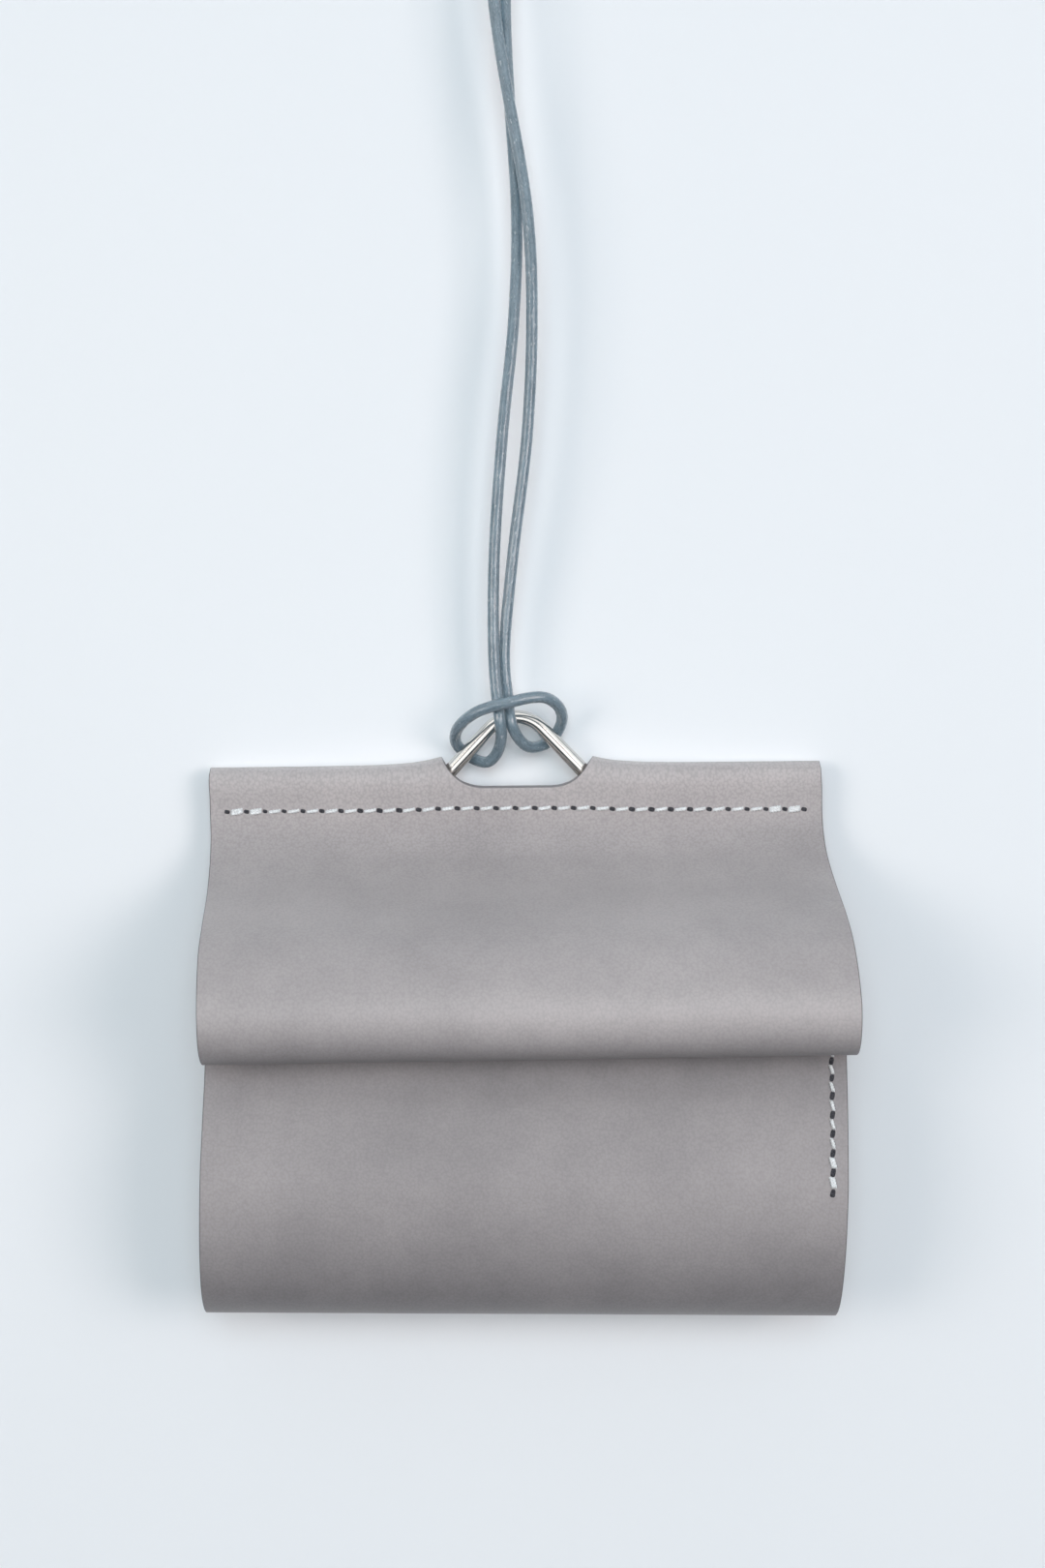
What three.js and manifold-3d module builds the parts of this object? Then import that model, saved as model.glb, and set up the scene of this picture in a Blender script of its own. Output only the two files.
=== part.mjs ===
// A small leather wallet that hangs from its wrist cord: one long strip of leather folded into a
// pocket and a rolled flap, a triangle ring in the top fold, and a round cord hitched to the ring.
// Millimetres, +Z up, +X to the right and -Y to the front. The origin is where the loop of the cord
// hangs on a hook.
import * as THREE from "three";
import { LoftGeometry } from "three/addons/geometries/LoftGeometry.js";
import { mergeVertices } from "three/addons/utils/BufferGeometryUtils.js";
import Module from "manifold-3d";

// Driving dimensions. Depths are measured forwards from the wallet's back face, heights from the
// bottom of the notch, and sideways places from the middle of the view.
const HANG = { x: -2.4, depth: 8.5, height: 187.1 };

const STRIP = { width: 95.6, thickness: 1.6, middle: -1.15 };
const STEPS_PER_FOLD = 2;
// The strip's course is worked out at these distances from its middle line, on both sides of it.
const STATIONS = [0, 11.6, 13, 16, 21, 29, 38, STRIP.width / 2];

// The round folds: half sizes in front of, behind and below or above the middle, and the middle itself.
const BOTTOM_FOLD = { front: 10.9, back: 10.7, drop: 19.85, depth: 11.5, height: -60 };
const TOP_FOLD = { front: 1.3, back: 1.3, drop: 1.6, depth: 2.1, height: 0.8 };
const ROLL = { front: 5.1, back: 5, drop: 5.7, depth: 25.7, height: -33.6 };
const HOOK = { front: 1.85, back: 1.85, drop: 1.85, depth: 17.4, height: -27.2 };
// Where a fold's rows lie, in degrees from forwards.
const BOTTOM_ANGLES = [0, -30, -60, -90, -120, -150, -180];
const TOP_ANGLES = [180, 135, 90, 45, 0];
const ROLL_ANGLES = [0, -45, -90, -135, -180];
const HOOK_ANGLES = [0, 45, 90, 135, 180];
// How the folds stand across the strip.
const BOTTOM_LEAN = -0.78;
const BOTTOM_SLIDE = 0.7;
const ROLL_SLIDE = 1.75;
const HOOK_SLIDE = 1.4;

// The ring's bar spreads the two layers of the top fold, most where the bar lies.
const BAR_BULGE = { most: 2.75, flat: 17, ends: 42 };
// The ring's legs lift the fold where they come out of the notch.
const LEG_LIFT = { most: 1.3, from: 11.6, fades: 4, level: 0.6, crest: 0.4 };

const NOTCH = {
  middle: -0.86,
  flat: 5.2,
  bottom: -0.3,
  radius: 7.15,
  top: 8,
  depthFrom: -3,
  depthTo: 12,
  stepsPerCorner: 7,
};

const RING = {
  wire: 2.3,
  middle: -0.9,
  halfBase: 13.95,
  baseHeight: -1.9,
  apexHeight: 12.75,
  baseDepth: 3.15,
  forwardLean: 0.11,
  apexRadius: 5.6,
  cornerRadius: 2.4,
  sides: 12,
  stepsPerBend: 5,
};

const CORD = { diameter: 1.8, sides: 8, stepsPerPoint: 2 };

// Points closer than this are one point.
const WELD = 1e-4;

const FINISHES = {
  leather: { color: 0xa29d9f, roughness: 0.5, metalness: 0 },
  ring: { color: 0xcfc8bd, roughness: 0.2, metalness: 1 },
  cord: { color: 0x76868e, roughness: 0.4, metalness: 0 },
};

// The strip's course from the mouth of the pocket to the end of the tongue, along the middle of its
// thickness. slide is how far the strip has run to the right there, bulge the share of the bar's
// spread, lift the share of the legs' lift, and lean the rise towards the right-hand edge.
const POCKET_FRONT = [
  { fold: "pocket mouth", depth: 17.4, height: -27.5, slide: 1.3 },
  { fold: "pocket behind the flap", depth: 18, height: -34, slide: 1.25 },
  { fold: "pocket below the flap", depth: 19.2, height: -43.1, slide: 1.15 },
  { fold: "pocket front", depth: 20.7, height: -48.8, slide: 1 },
  { fold: "end of the side seam", depth: 22.05, height: -55.8, slide: 0.8, lean: -0.4 },
];
const BACK_PANEL = [
  { fold: "back above the bottom fold", depth: 0.8, height: -58.5 },
  { fold: "back, low", depth: 0.8, height: -50 },
  { fold: "back, middle", depth: 0.8, height: -36 },
  { fold: "back, high", depth: 0.8, height: -16 },
  { fold: "back, above the middle", depth: 0.8, height: -9 },
  { fold: "top seam, back layer", depth: 0.8, height: -3.9, lift: 0.2 },
];
const FLAP = [
  { fold: "tunnel, front layer", depth: 3.3, height: -1.5, slide: 0.1, bulge: 0.945, lift: 0.4 },
  { fold: "top seam, front layer", depth: 3, height: -3.9, slide: 0.1, bulge: 0.873, lift: 0.2 },
  { fold: "flap neck", depth: 3.25, height: -7.5, slide: 0.2, bulge: 0.673 },
  { fold: "flap leaves the back", depth: 5.3, height: -11, slide: 0.35, bulge: 0.29 },
  { fold: "flap bends out", depth: 8.8, height: -14, slide: 0.6, bulge: 0.09 },
  { fold: "flap slope", depth: 13.4, height: -16.85, slide: 0.9 },
  { fold: "flap slope, lower", depth: 20.9, height: -20.75, slide: 1.25 },
  { fold: "flap brow", depth: 26.5, height: -24.6, slide: 1.45 },
  { fold: "flap front", depth: 29.75, height: -29.4, slide: 1.65 },
];
const RETURN = [{ fold: "flap's return", depth: 19.95, height: -30.6, slide: 1.6 }];
const TONGUE = [
  { fold: "tongue, top", depth: 16.15, height: -34, slide: 1.25 },
  { fold: "tongue, middle", depth: 17.25, height: -43.1, slide: 1.15 },
  { fold: "tongue, lower", depth: 18.7, height: -48.8, slide: 1 },
  { fold: "tongue at the seam's end", depth: 20, height: -55.8, slide: 0.8 },
  { fold: "tongue end", depth: 20.25, height: -61, slide: 0.7 },
];

// The cord's course, from behind the ring's left leg, through the hitch, up one strand, over the
// loop and down the other strand, back behind the left leg.
const CORD_ROUTE = [
  { at: "behind the left leg", x: -8.6, depth: 1.4, height: 4.7 },
  { at: "outside the left leg", x: -10.1, depth: 2.6, height: 6.1 },
  { at: "left turn", x: -10.4, depth: 4.6, height: 7.6 },
  { at: "left rise", x: -9.5, depth: 6.9, height: 9.3 },
  { at: "bar, left", x: -7, depth: 8.8, height: 11.1 },
  { at: "bar over the rear strand", x: -4, depth: 9.6, height: 12.1 },
  { at: "bar over the front strand", x: -1.6, depth: 9.6, height: 12.6 },
  { at: "bar, right", x: 1, depth: 8.9, height: 13.2 },
  { at: "right shoulder", x: 3.6, depth: 7.8, height: 13.3 },
  { at: "right turn", x: 5.5, depth: 6.3, height: 12.2 },
  { at: "right fall", x: 6.3, depth: 4.5, height: 10.5 },
  { at: "outside the right leg", x: 5.8, depth: 2.6, height: 8.5 },
  { at: "behind the right leg", x: 4.6, depth: 1.7, height: 6.9 },
  { at: "inside the right leg", x: 2.9, depth: 2.4, height: 5.9 },
  { at: "right low point", x: 0.9, depth: 3.9, height: 5.8 },
  { at: "right rise", x: -0.75, depth: 5.6, height: 7.4 },
  { at: "over the apex", x: -1.75, depth: 6.85, height: 9.8 },
  { at: "front strand under the bar", x: -2.1, depth: 6, height: 12.9 },
  { at: "front strand, foot", x: -2.6, depth: 5.95, height: 19.5 },
  { at: "front strand, low", x: -1.2, depth: 7.4, height: 34.4 },
  { at: "front strand, apart", x: 1.3, depth: 8.9, height: 53.5 },
  { at: "front strand, middle", x: 2.25, depth: 9.5, height: 71.2 },
  { at: "front strand, before the crossing", x: 1.8, depth: 9.85, height: 87 },
  { at: "front strand, after the crossing", x: -3.1, depth: 9.7, height: 120.3 },
  { at: "loop, left", x: -6.4, depth: 8.6, height: 180.5 },
  { at: "loop, upper left", x: -5.1, depth: 8.5, height: 186 },
  { at: "loop, top", x: -2.4, depth: 8.5, height: 188 },
  { at: "loop, upper right", x: 0.3, depth: 8.5, height: 186 },
  { at: "loop, right", x: 1.6, depth: 8.4, height: 180.5 },
  { at: "rear strand, after the crossing", x: -1.3, depth: 7.6, height: 120.3 },
  { at: "rear strand, before the crossing", x: 0.1, depth: 7.65, height: 87 },
  { at: "rear strand, middle", x: -0.55, depth: 8.3, height: 71.5 },
  { at: "rear strand, apart", x: -2.5, depth: 8.6, height: 53.6 },
  { at: "rear strand, low", x: -4, depth: 7.9, height: 34.4 },
  { at: "rear strand, foot", x: -4.2, depth: 7.2, height: 19.5 },
  { at: "rear strand under the bar", x: -3.75, depth: 7.4, height: 12.9 },
  { at: "over the left leg", x: -3.4, depth: 8, height: 9.9 },
  { at: "left fall", x: -3.2, depth: 6.4, height: 7.2 },
  { at: "left low, right", x: -3.9, depth: 4.5, height: 4.9 },
  { at: "left low point", x: -5.3, depth: 3.1, height: 3.5 },
  { at: "inside the left leg", x: -6.9, depth: 1.9, height: 3.7 },
  { at: "end behind the left leg", x: -8.4, depth: 1.4, height: 4.45 },
];

// A place in the part's frame.
function place(x, depth, height) {
  return new THREE.Vector3(x - HANG.x, HANG.depth - depth, height - HANG.height);
}

// Rows of a round fold: an angle of 0 points forwards and 90 upwards.
function foldArc(name, fold, angles, extra) {
  return angles.map((degrees) => {
    const angle = THREE.MathUtils.degToRad(degrees);
    const across = Math.cos(angle) >= 0 ? fold.front : fold.back;
    return {
      fold: `${name} ${degrees}`,
      depth: fold.depth + across * Math.cos(angle),
      height: fold.height + fold.drop * Math.sin(angle),
      ...extra(angle),
    };
  });
}

function stripCourse() {
  const bottom = foldArc("bottom fold", BOTTOM_FOLD, BOTTOM_ANGLES, (angle) => ({
    lean: BOTTOM_LEAN,
    slide: Math.cos(angle) > 0 ? BOTTOM_SLIDE * (1 + Math.sin(angle)) : 0,
  }));
  const top = foldArc("top fold", TOP_FOLD, TOP_ANGLES, (angle) => ({
    bulge: (1 + Math.cos(angle)) / 2,
    lift: LEG_LIFT.level + LEG_LIFT.crest * Math.sin(angle),
  }));
  const roll = foldArc("flap roll", ROLL, ROLL_ANGLES, () => ({ slide: ROLL_SLIDE }));
  const hook = foldArc("hook over the pocket mouth", HOOK, HOOK_ANGLES, () => ({ slide: HOOK_SLIDE }));
  return [
    ...POCKET_FRONT,
    ...bottom,
    ...BACK_PANEL,
    ...top,
    ...FLAP,
    ...roll,
    ...RETURN,
    ...hook,
    ...TONGUE,
  ];
}

// How far the bar spreads the fold, and the legs lift it, at a distance from the strip's middle.
function barBulge(across) {
  return BAR_BULGE.most * (1 - THREE.MathUtils.smoothstep(Math.abs(across), BAR_BULGE.flat, BAR_BULGE.ends));
}
function legLift(across) {
  return LEG_LIFT.most * Math.exp(-Math.max(0, Math.abs(across) - LEG_LIFT.from) / LEG_LIFT.fades);
}

// The strip's middle line at one station across its width, with the sideways slide along it.
function stationLine(course, across) {
  const knots = course.map(
    ({ depth, height, bulge = 0, lift = 0, lean = 0 }) =>
      new THREE.Vector2(
        depth + bulge * barBulge(across),
        height + lift * legLift(across) + (lean * 2 * across) / STRIP.width,
      ),
  );
  const path = new THREE.CatmullRomCurve3(knots.map((k) => new THREE.Vector3(0, k.x, k.y)));
  const slides = new THREE.CatmullRomCurve3(course.map(({ slide = 0 }, i) => new THREE.Vector3(slide, i, 0)));
  const steps = (course.length - 1) * STEPS_PER_FOLD;
  return Array.from({ length: steps + 1 }, (_, i) => {
    const point = path.getPoint(i / steps);
    const tangent = path.getTangent(i / steps);
    return { depth: point.y, height: point.z, along: tangent, slide: slides.getPoint(i / steps).x };
  });
}

// The leather strip as one loft: each section runs across the strip on one face and back on the other.
function leatherStrip() {
  const course = stripCourse();
  const stations = [...STATIONS.slice(1).reverse().map((x) => -x), ...STATIONS];
  const lines = stations.map((across) => stationLine(course, across));
  const half = STRIP.thickness / 2;
  const sections = lines[0].map((_, i) => {
    const face = (side) =>
      lines.map((line, s) => {
        const { depth, height, along, slide } = line[i];
        return place(
          STRIP.middle + stations[s] + slide,
          depth + side * half * along.z,
          height - side * half * along.y,
        );
      });
    return [...face(1), ...face(-1).reverse()];
  });
  return new LoftGeometry(sections, { capStart: true, capEnd: true });
}

// The notch's outline, cut through both layers of the top fold.
function notchCutter() {
  const side = NOTCH.flat + NOTCH.radius;
  const shape = new THREE.Shape();
  shape.moveTo(-side, NOTCH.top);
  shape.lineTo(-side, NOTCH.bottom + NOTCH.radius);
  shape.absarc(-NOTCH.flat, NOTCH.bottom + NOTCH.radius, NOTCH.radius, Math.PI, 1.5 * Math.PI, false);
  shape.absarc(NOTCH.flat, NOTCH.bottom + NOTCH.radius, NOTCH.radius, 1.5 * Math.PI, 2 * Math.PI, false);
  shape.lineTo(side, NOTCH.top);
  const cutter = new THREE.ExtrudeGeometry(shape, {
    depth: NOTCH.depthTo - NOTCH.depthFrom,
    curveSegments: NOTCH.stepsPerCorner,
    bevelEnabled: false,
  });
  cutter.rotateX(Math.PI / 2);
  const corner = place(NOTCH.middle, NOTCH.depthFrom, 0);
  cutter.translate(corner.x, corner.y, corner.z);
  return cutter;
}

// The ring's middle line: a triangle with rounded corners, leaning forwards from its bar.
function ringLine() {
  const { middle, halfBase, baseHeight, apexHeight } = RING;
  const corners = [
    { at: new THREE.Vector2(middle - halfBase, baseHeight), radius: RING.cornerRadius },
    { at: new THREE.Vector2(middle + halfBase, baseHeight), radius: RING.cornerRadius },
    { at: new THREE.Vector2(middle, apexHeight), radius: RING.apexRadius },
  ];
  return corners.flatMap(({ at, radius }, i) => {
    const before = corners.at(i - 1).at.clone().sub(at).normalize();
    const after = corners[(i + 1) % corners.length].at.clone().sub(at).normalize();
    const halfAngle = before.angleTo(after) / 2;
    const centre = before.clone().add(after).normalize().multiplyScalar(radius / Math.sin(halfAngle)).add(at);
    const start = before.multiplyScalar(radius / Math.tan(halfAngle)).add(at).sub(centre);
    const turn = Math.PI - 2 * halfAngle;
    return Array.from({ length: RING.stepsPerBend + 1 }, (_, k) =>
      start.clone().rotateAround(new THREE.Vector2(), (turn * k) / RING.stepsPerBend).add(centre),
    );
  });
}

// The ring as one closed loft round its middle line.
function triangleRing() {
  const line = ringLine();
  const radius = RING.wire / 2;
  const sections = line.map((point, i) => {
    const before = line.at(i - 1);
    const after = line[(i + 1) % line.length];
    const along = after.clone().sub(before).normalize();
    return Array.from({ length: RING.sides }, (_, k) => {
      const angle = (2 * Math.PI * k) / RING.sides;
      const out = radius * Math.cos(angle);
      const x = point.x + out * along.y;
      const height = point.y - out * along.x;
      const depth = RING.baseDepth + RING.forwardLean * (height - RING.baseHeight);
      return place(x, depth - radius * Math.sin(angle), height);
    });
  });
  return new LoftGeometry([...sections, sections[0]]);
}

// A curve through the route's points, which takes the same number of steps between any two of them.
class EvenlySteppedCurve extends THREE.CatmullRomCurve3 {
  getPointAt(u, target) {
    return this.getPoint(u, target);
  }
  getTangentAt(u, target) {
    return this.getTangent(u, target);
  }
}

function wristCord() {
  const route = CORD_ROUTE.map(({ x, depth, height }) => place(x, depth, height));
  const section = new THREE.Shape();
  section.absarc(0, 0, CORD.diameter / 2, 0, 2 * Math.PI, false);
  return new THREE.ExtrudeGeometry(section, {
    extrudePath: new EvenlySteppedCurve(route),
    steps: (route.length - 1) * CORD.stepsPerPoint,
    curveSegments: CORD.sides / 2,
    bevelEnabled: false,
  });
}

const wasm = await Module();
wasm.setup();

function toSolid(geometry) {
  const bare = new THREE.BufferGeometry();
  bare.setAttribute("position", geometry.attributes.position);
  bare.setIndex(geometry.index);
  const merged = mergeVertices(bare, WELD);
  return new wasm.Manifold(
    new wasm.Mesh({
      numProp: 3,
      vertProperties: new Float32Array(merged.attributes.position.array),
      triVerts: new Uint32Array(merged.index.array),
    }),
  );
}

function toGeometry(solid) {
  const mesh = solid.getMesh();
  const geometry = new THREE.BufferGeometry();
  geometry.setAttribute("position", new THREE.BufferAttribute(new Float32Array(mesh.vertProperties), 3));
  geometry.setIndex(new THREE.BufferAttribute(new Uint32Array(mesh.triVerts), 1));
  geometry.computeVertexNormals();
  return geometry;
}

function addMesh(group, name, geometry, finish) {
  const mesh = new THREE.Mesh(geometry, new THREE.MeshStandardMaterial(finish));
  mesh.name = name;
  group.add(mesh);
}

const notchedStrip = toSolid(leatherStrip()).subtract(toSolid(notchCutter()));

const wallet = new THREE.Group();
addMesh(wallet, "leather_body", toGeometry(notchedStrip), FINISHES.leather);
addMesh(wallet, "triangle_ring", triangleRing(), FINISHES.ring);
addMesh(wallet, "wrist_cord", wristCord(), FINISHES.cord);

export default wallet;
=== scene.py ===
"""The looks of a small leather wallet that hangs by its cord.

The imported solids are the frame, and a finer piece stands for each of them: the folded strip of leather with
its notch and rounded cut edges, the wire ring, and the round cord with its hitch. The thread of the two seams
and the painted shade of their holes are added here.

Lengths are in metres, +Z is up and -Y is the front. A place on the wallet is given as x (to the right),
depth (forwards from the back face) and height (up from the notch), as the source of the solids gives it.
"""

import logging
import math
from dataclasses import dataclass, field
from enum import Enum
from typing import NamedTuple

import bpy
import numpy as np
from mathutils import Matrix, Vector


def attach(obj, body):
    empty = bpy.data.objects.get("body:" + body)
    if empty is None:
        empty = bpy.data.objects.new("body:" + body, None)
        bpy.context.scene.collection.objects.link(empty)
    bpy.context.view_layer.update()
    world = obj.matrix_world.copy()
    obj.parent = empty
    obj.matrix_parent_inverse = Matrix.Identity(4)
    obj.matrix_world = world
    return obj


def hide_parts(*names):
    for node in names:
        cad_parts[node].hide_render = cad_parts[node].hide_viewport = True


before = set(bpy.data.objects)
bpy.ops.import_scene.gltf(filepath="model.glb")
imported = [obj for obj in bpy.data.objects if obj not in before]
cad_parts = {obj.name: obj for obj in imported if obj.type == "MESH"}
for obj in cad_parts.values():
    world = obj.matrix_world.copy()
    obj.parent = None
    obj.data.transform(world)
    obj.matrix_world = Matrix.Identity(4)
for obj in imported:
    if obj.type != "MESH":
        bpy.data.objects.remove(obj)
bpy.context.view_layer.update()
LOG = logging.getLogger("wallet")
ROOT = "root"

Array = np.ndarray
Socket = bpy.types.NodeSocket
Material = bpy.types.Material
Piece = bpy.types.Object
Colour = tuple[float, float, float]
Stretch = tuple[float, float, float]


# Places, curves and meshes


@dataclass(frozen=True)
class HangPoint:
    """Where the cord's loop hangs, which is the frame's origin, in the wallet's own measures."""

    x: float = -0.0024
    depth: float = 0.0085
    height: float = 0.1871

    def place(self, x: Array | float, depth: Array | float, height: Array | float) -> Array:
        """Turns the wallet's measures into points of the frame: depth runs towards -Y.

        Args:
            x: distances to the right.
            depth: distances forwards from the back face.
            height: heights above the notch.

        Returns:
            The points, with x, y and z along the last axis.
        """
        return np.stack(np.broadcast_arrays(x - self.x, self.depth - depth, height - self.height), axis=-1)


HANG = HangPoint()


def curve_through(knots: Array, per_span: int, places: int) -> Array:
    """Draws a smooth curve through the rows of a table.

    Each span is a cubic that leaves and meets its two rows along tangents, which weigh the chords on both
    sides of a row by the square roots of their lengths (a centripetal Catmull-Rom curve).

    Args:
        knots: one row for each point; the first columns are places and the others ride along.
        per_span: how many samples each span gets.
        places: how many columns are places.

    Returns:
        The samples, one row each, from the first row of the table to the last.
    """
    before, after = 2 * knots[:1] - knots[1:2], 2 * knots[-1:] - knots[-2:-1]
    rows = np.concatenate([before, knots, after])
    pace = np.sqrt(np.linalg.norm(np.diff(rows[:, :places], axis=0), axis=1))[:, None]
    p0, p1, p2, p3 = rows[:-3], rows[1:-2], rows[2:-1], rows[3:]
    d0, d1, d2 = pace[:-2], pace[1:-1], pace[2:]
    leave = ((p1 - p0) / d0 - (p2 - p0) / (d0 + d1) + (p2 - p1) / d1) * d1
    meet = ((p2 - p1) / d1 - (p3 - p1) / (d1 + d2) + (p3 - p2) / d2) * d1
    u = np.linspace(0, 1, per_span, endpoint=False)[None, :, None]
    spans = (
        (2 * u**3 - 3 * u**2 + 1) * p1[:, None]
        + (u**3 - 2 * u**2 + u) * leave[:, None]
        + (3 * u**2 - 2 * u**3) * p2[:, None]
        + (u**3 - u**2) * meet[:, None]
    )
    return np.concatenate([spans.reshape(-1, knots.shape[1]), knots[-1:]])


def run_of(points: Array) -> Array:
    """The distance run along a line of points, from 0 at its first point."""
    return np.concatenate([[0.0], np.cumsum(np.linalg.norm(np.diff(points, axis=0), axis=1))])


def evenly(samples: Array, step: float, places: int) -> Array:
    """Resamples a line at equal distances along it.

    Args:
        samples: one row for each sample, places first.
        step: the wanted distance between samples.
        places: how many columns are places.

    Returns:
        The new samples, with the line's two ends kept.
    """
    run = run_of(samples[:, :places])
    stops = np.linspace(0, run[-1], round(run[-1] / step) + 1)
    return np.stack([np.interp(stops, run, column) for column in samples.T], axis=-1)


# How many widths of the bell curve are kept on each of its sides
BELL_REACH = 3


def faired(samples: Array, spread: float) -> Array:
    """Smooths a line by averaging each sample with its neighbours under a bell curve.

    Args:
        samples: evenly spaced samples, one row each.
        spread: the bell's width, in samples.

    Returns:
        The smoothed samples; both ends stay where they are.
    """
    reach = math.ceil(BELL_REACH * spread)
    bell = np.exp(-0.5 * (np.arange(-reach, reach + 1) / spread) ** 2)
    padded = np.pad(samples, ((reach, reach), (0, 0)), mode="reflect", reflect_type="odd")
    return np.apply_along_axis(np.convolve, 0, padded, bell / bell.sum(), mode="valid")


def unit(vectors: Array) -> Array:
    """Vectors of length 1 along the given ones."""
    return vectors / np.linalg.norm(vectors, axis=-1, keepdims=True)


def smoothstep(value: Array | float, low: float, high: float) -> Array:
    """0 below low and 1 above high, with a smooth S between them."""
    share = np.clip((value - low) / (high - low), 0, 1)
    return share * share * (3 - 2 * share)


def flattened(wave: Array, power: float) -> Array:
    """A wave between -1 and 1 with flat tops: its size to a power below 1, with its sign kept."""
    return np.sign(wave) * np.abs(wave) ** power


def tube_grid(line: Array, radius: float, sides: int, closed: bool) -> Array:
    """Carries a circle along a line of points.

    A point of the surface is the line's point plus radius times the cosine of the angle along the first
    normal and the sine along the second. The normals turn with the line and never round it: each is its
    neighbour mirrored twice, in the middle of the step and in the new tangent.

    Args:
        line: the line's points.
        radius: the tube's radius.
        sides: how many points go round it.
        closed: whether the line's last point joins its first.

    Returns:
        The surface points, as (line points, sides, 3).
    """
    ahead = np.roll(line, -1, axis=0) if closed else np.concatenate([line[1:], 2 * line[-1:] - line[-2:-1]])
    behind = np.roll(line, 1, axis=0) if closed else np.concatenate([2 * line[:1] - line[1:2], line[:-1]])
    tangent = unit(ahead - behind)
    first = np.cross(tangent[0], np.array([0.0, 1.0, 0.0]))
    normals = [first / np.linalg.norm(first)]
    for i in range(len(line) - 1):
        step = line[i + 1] - line[i]
        normal = normals[i] - 2 / step.dot(step) * step.dot(normals[i]) * step
        turned = tangent[i] - 2 / step.dot(step) * step.dot(tangent[i]) * step
        turn = tangent[i + 1] - turned
        size = turn.dot(turn)
        normals.append(normal - (2 / size * turn.dot(normal) * turn if size > 0 else 0))
    normal = np.array(normals)
    side = np.cross(tangent, normal)
    angle = np.linspace(0, 2 * np.pi, sides, endpoint=False)[None, :, None]
    ring = radius * (np.cos(angle) * normal[:, None] + np.sin(angle) * side[:, None])
    return line[:, None] + ring


def grid_quads(rows: int, columns: int, closed_rows: bool, closed_columns: bool) -> Array:
    """Joins a grid of points, numbered row by row, into quads.

    Args:
        rows: how many rows.
        columns: how many points in a row.
        closed_rows: whether the last row joins the first.
        closed_columns: whether a row's last point joins its first.

    Returns:
        One row of four point numbers for each quad.
    """
    i = np.arange(rows if closed_rows else rows - 1)[:, None]
    j = np.arange(columns if closed_columns else columns - 1)[None, :]
    a = i * columns + j
    b = i * columns + (j + 1) % columns
    c = (i + 1) % rows * columns + (j + 1) % columns
    d = (i + 1) % rows * columns + j
    return np.stack([a, b, c, d], axis=-1).reshape(-1, 4)


@dataclass
class Surface:
    """A mesh in the making: points, faces, and what its materials read."""

    points: Array
    faces: list[list[int]]
    uv: Array | None = None
    paint: Array | None = None
    tone: Array | None = None

    def to_object(self, name: str, materials: list[Material]) -> Piece:
        """Puts the surface into a smooth-shaded mesh object at the origin.

        Args:
            name: the object's name.
            materials: its materials, in the order that paint numbers them.

        Returns:
            The object, linked to the scene.
        """
        mesh = bpy.data.meshes.new(name)
        mesh.from_pydata(self.points.tolist(), [], self.faces)
        mesh.polygons.foreach_set("use_smooth", np.ones(len(mesh.polygons), dtype=bool))
        if self.paint is not None:
            mesh.polygons.foreach_set("material_index", self.paint.astype(np.int32))
        if self.uv is not None:
            corners = np.empty(len(mesh.loops), dtype=np.int32)
            mesh.loops.foreach_get("vertex_index", corners)
            spots = self.uv[corners].astype(np.float32)
            mesh.uv_layers.new(name="run").data.foreach_set("uv", spots.ravel())
        if self.tone is not None:
            layer = mesh.attributes.new("tone", "FLOAT", "POINT")
            layer.data.foreach_set("value", self.tone.astype(np.float32))
        for material in materials:
            mesh.materials.append(material)
        mesh.validate()
        made = bpy.data.objects.new(name, mesh)
        bpy.context.scene.collection.objects.link(made)
        return made


def tube(line: Array, diameter: float, sides: int, closed: bool) -> Surface:
    """Makes a round tube along a line, with a flat cap on each of its ends where it isn't closed.

    Args:
        line: the points of the tube's middle line.
        diameter: the tube's thickness.
        sides: how many points go round it.
        closed: whether the line's last point joins its first.

    Returns:
        The tube's surface, whose map gives the distances round the tube and along it.
    """
    grid = tube_grid(line, diameter / 2, sides, closed)
    faces = grid_quads(len(line), sides, closed, True).tolist()
    if not closed:
        ring = np.arange(sides)
        faces += [ring[::-1].tolist(), (ring + (len(line) - 1) * sides).tolist()]
    around = np.linspace(0, np.pi * diameter, sides, endpoint=False)
    uv = np.stack(np.meshgrid(around, run_of(line)), axis=-1).reshape(-1, 2)
    return Surface(grid.reshape(-1, 3), faces, uv)


# Finishes


# The numbers of a colour Mix node's sockets
MIX_SHARE, MIX_FIRST, MIX_SECOND, MIX_RESULT = 0, 6, 7, 2


class Span(NamedTuple):
    """The two ends of a range of values."""

    low: float
    high: float


class Noise(NamedTuple):
    """A noise pattern: its scale, its layers of detail, and how much the fine layers weigh."""

    scale: float
    detail: float
    weight: float = 0.5


class Relief(NamedTuple):
    """How strongly a height pattern leans the surface, and how high its tops stand."""

    strength: float
    height: float


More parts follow.
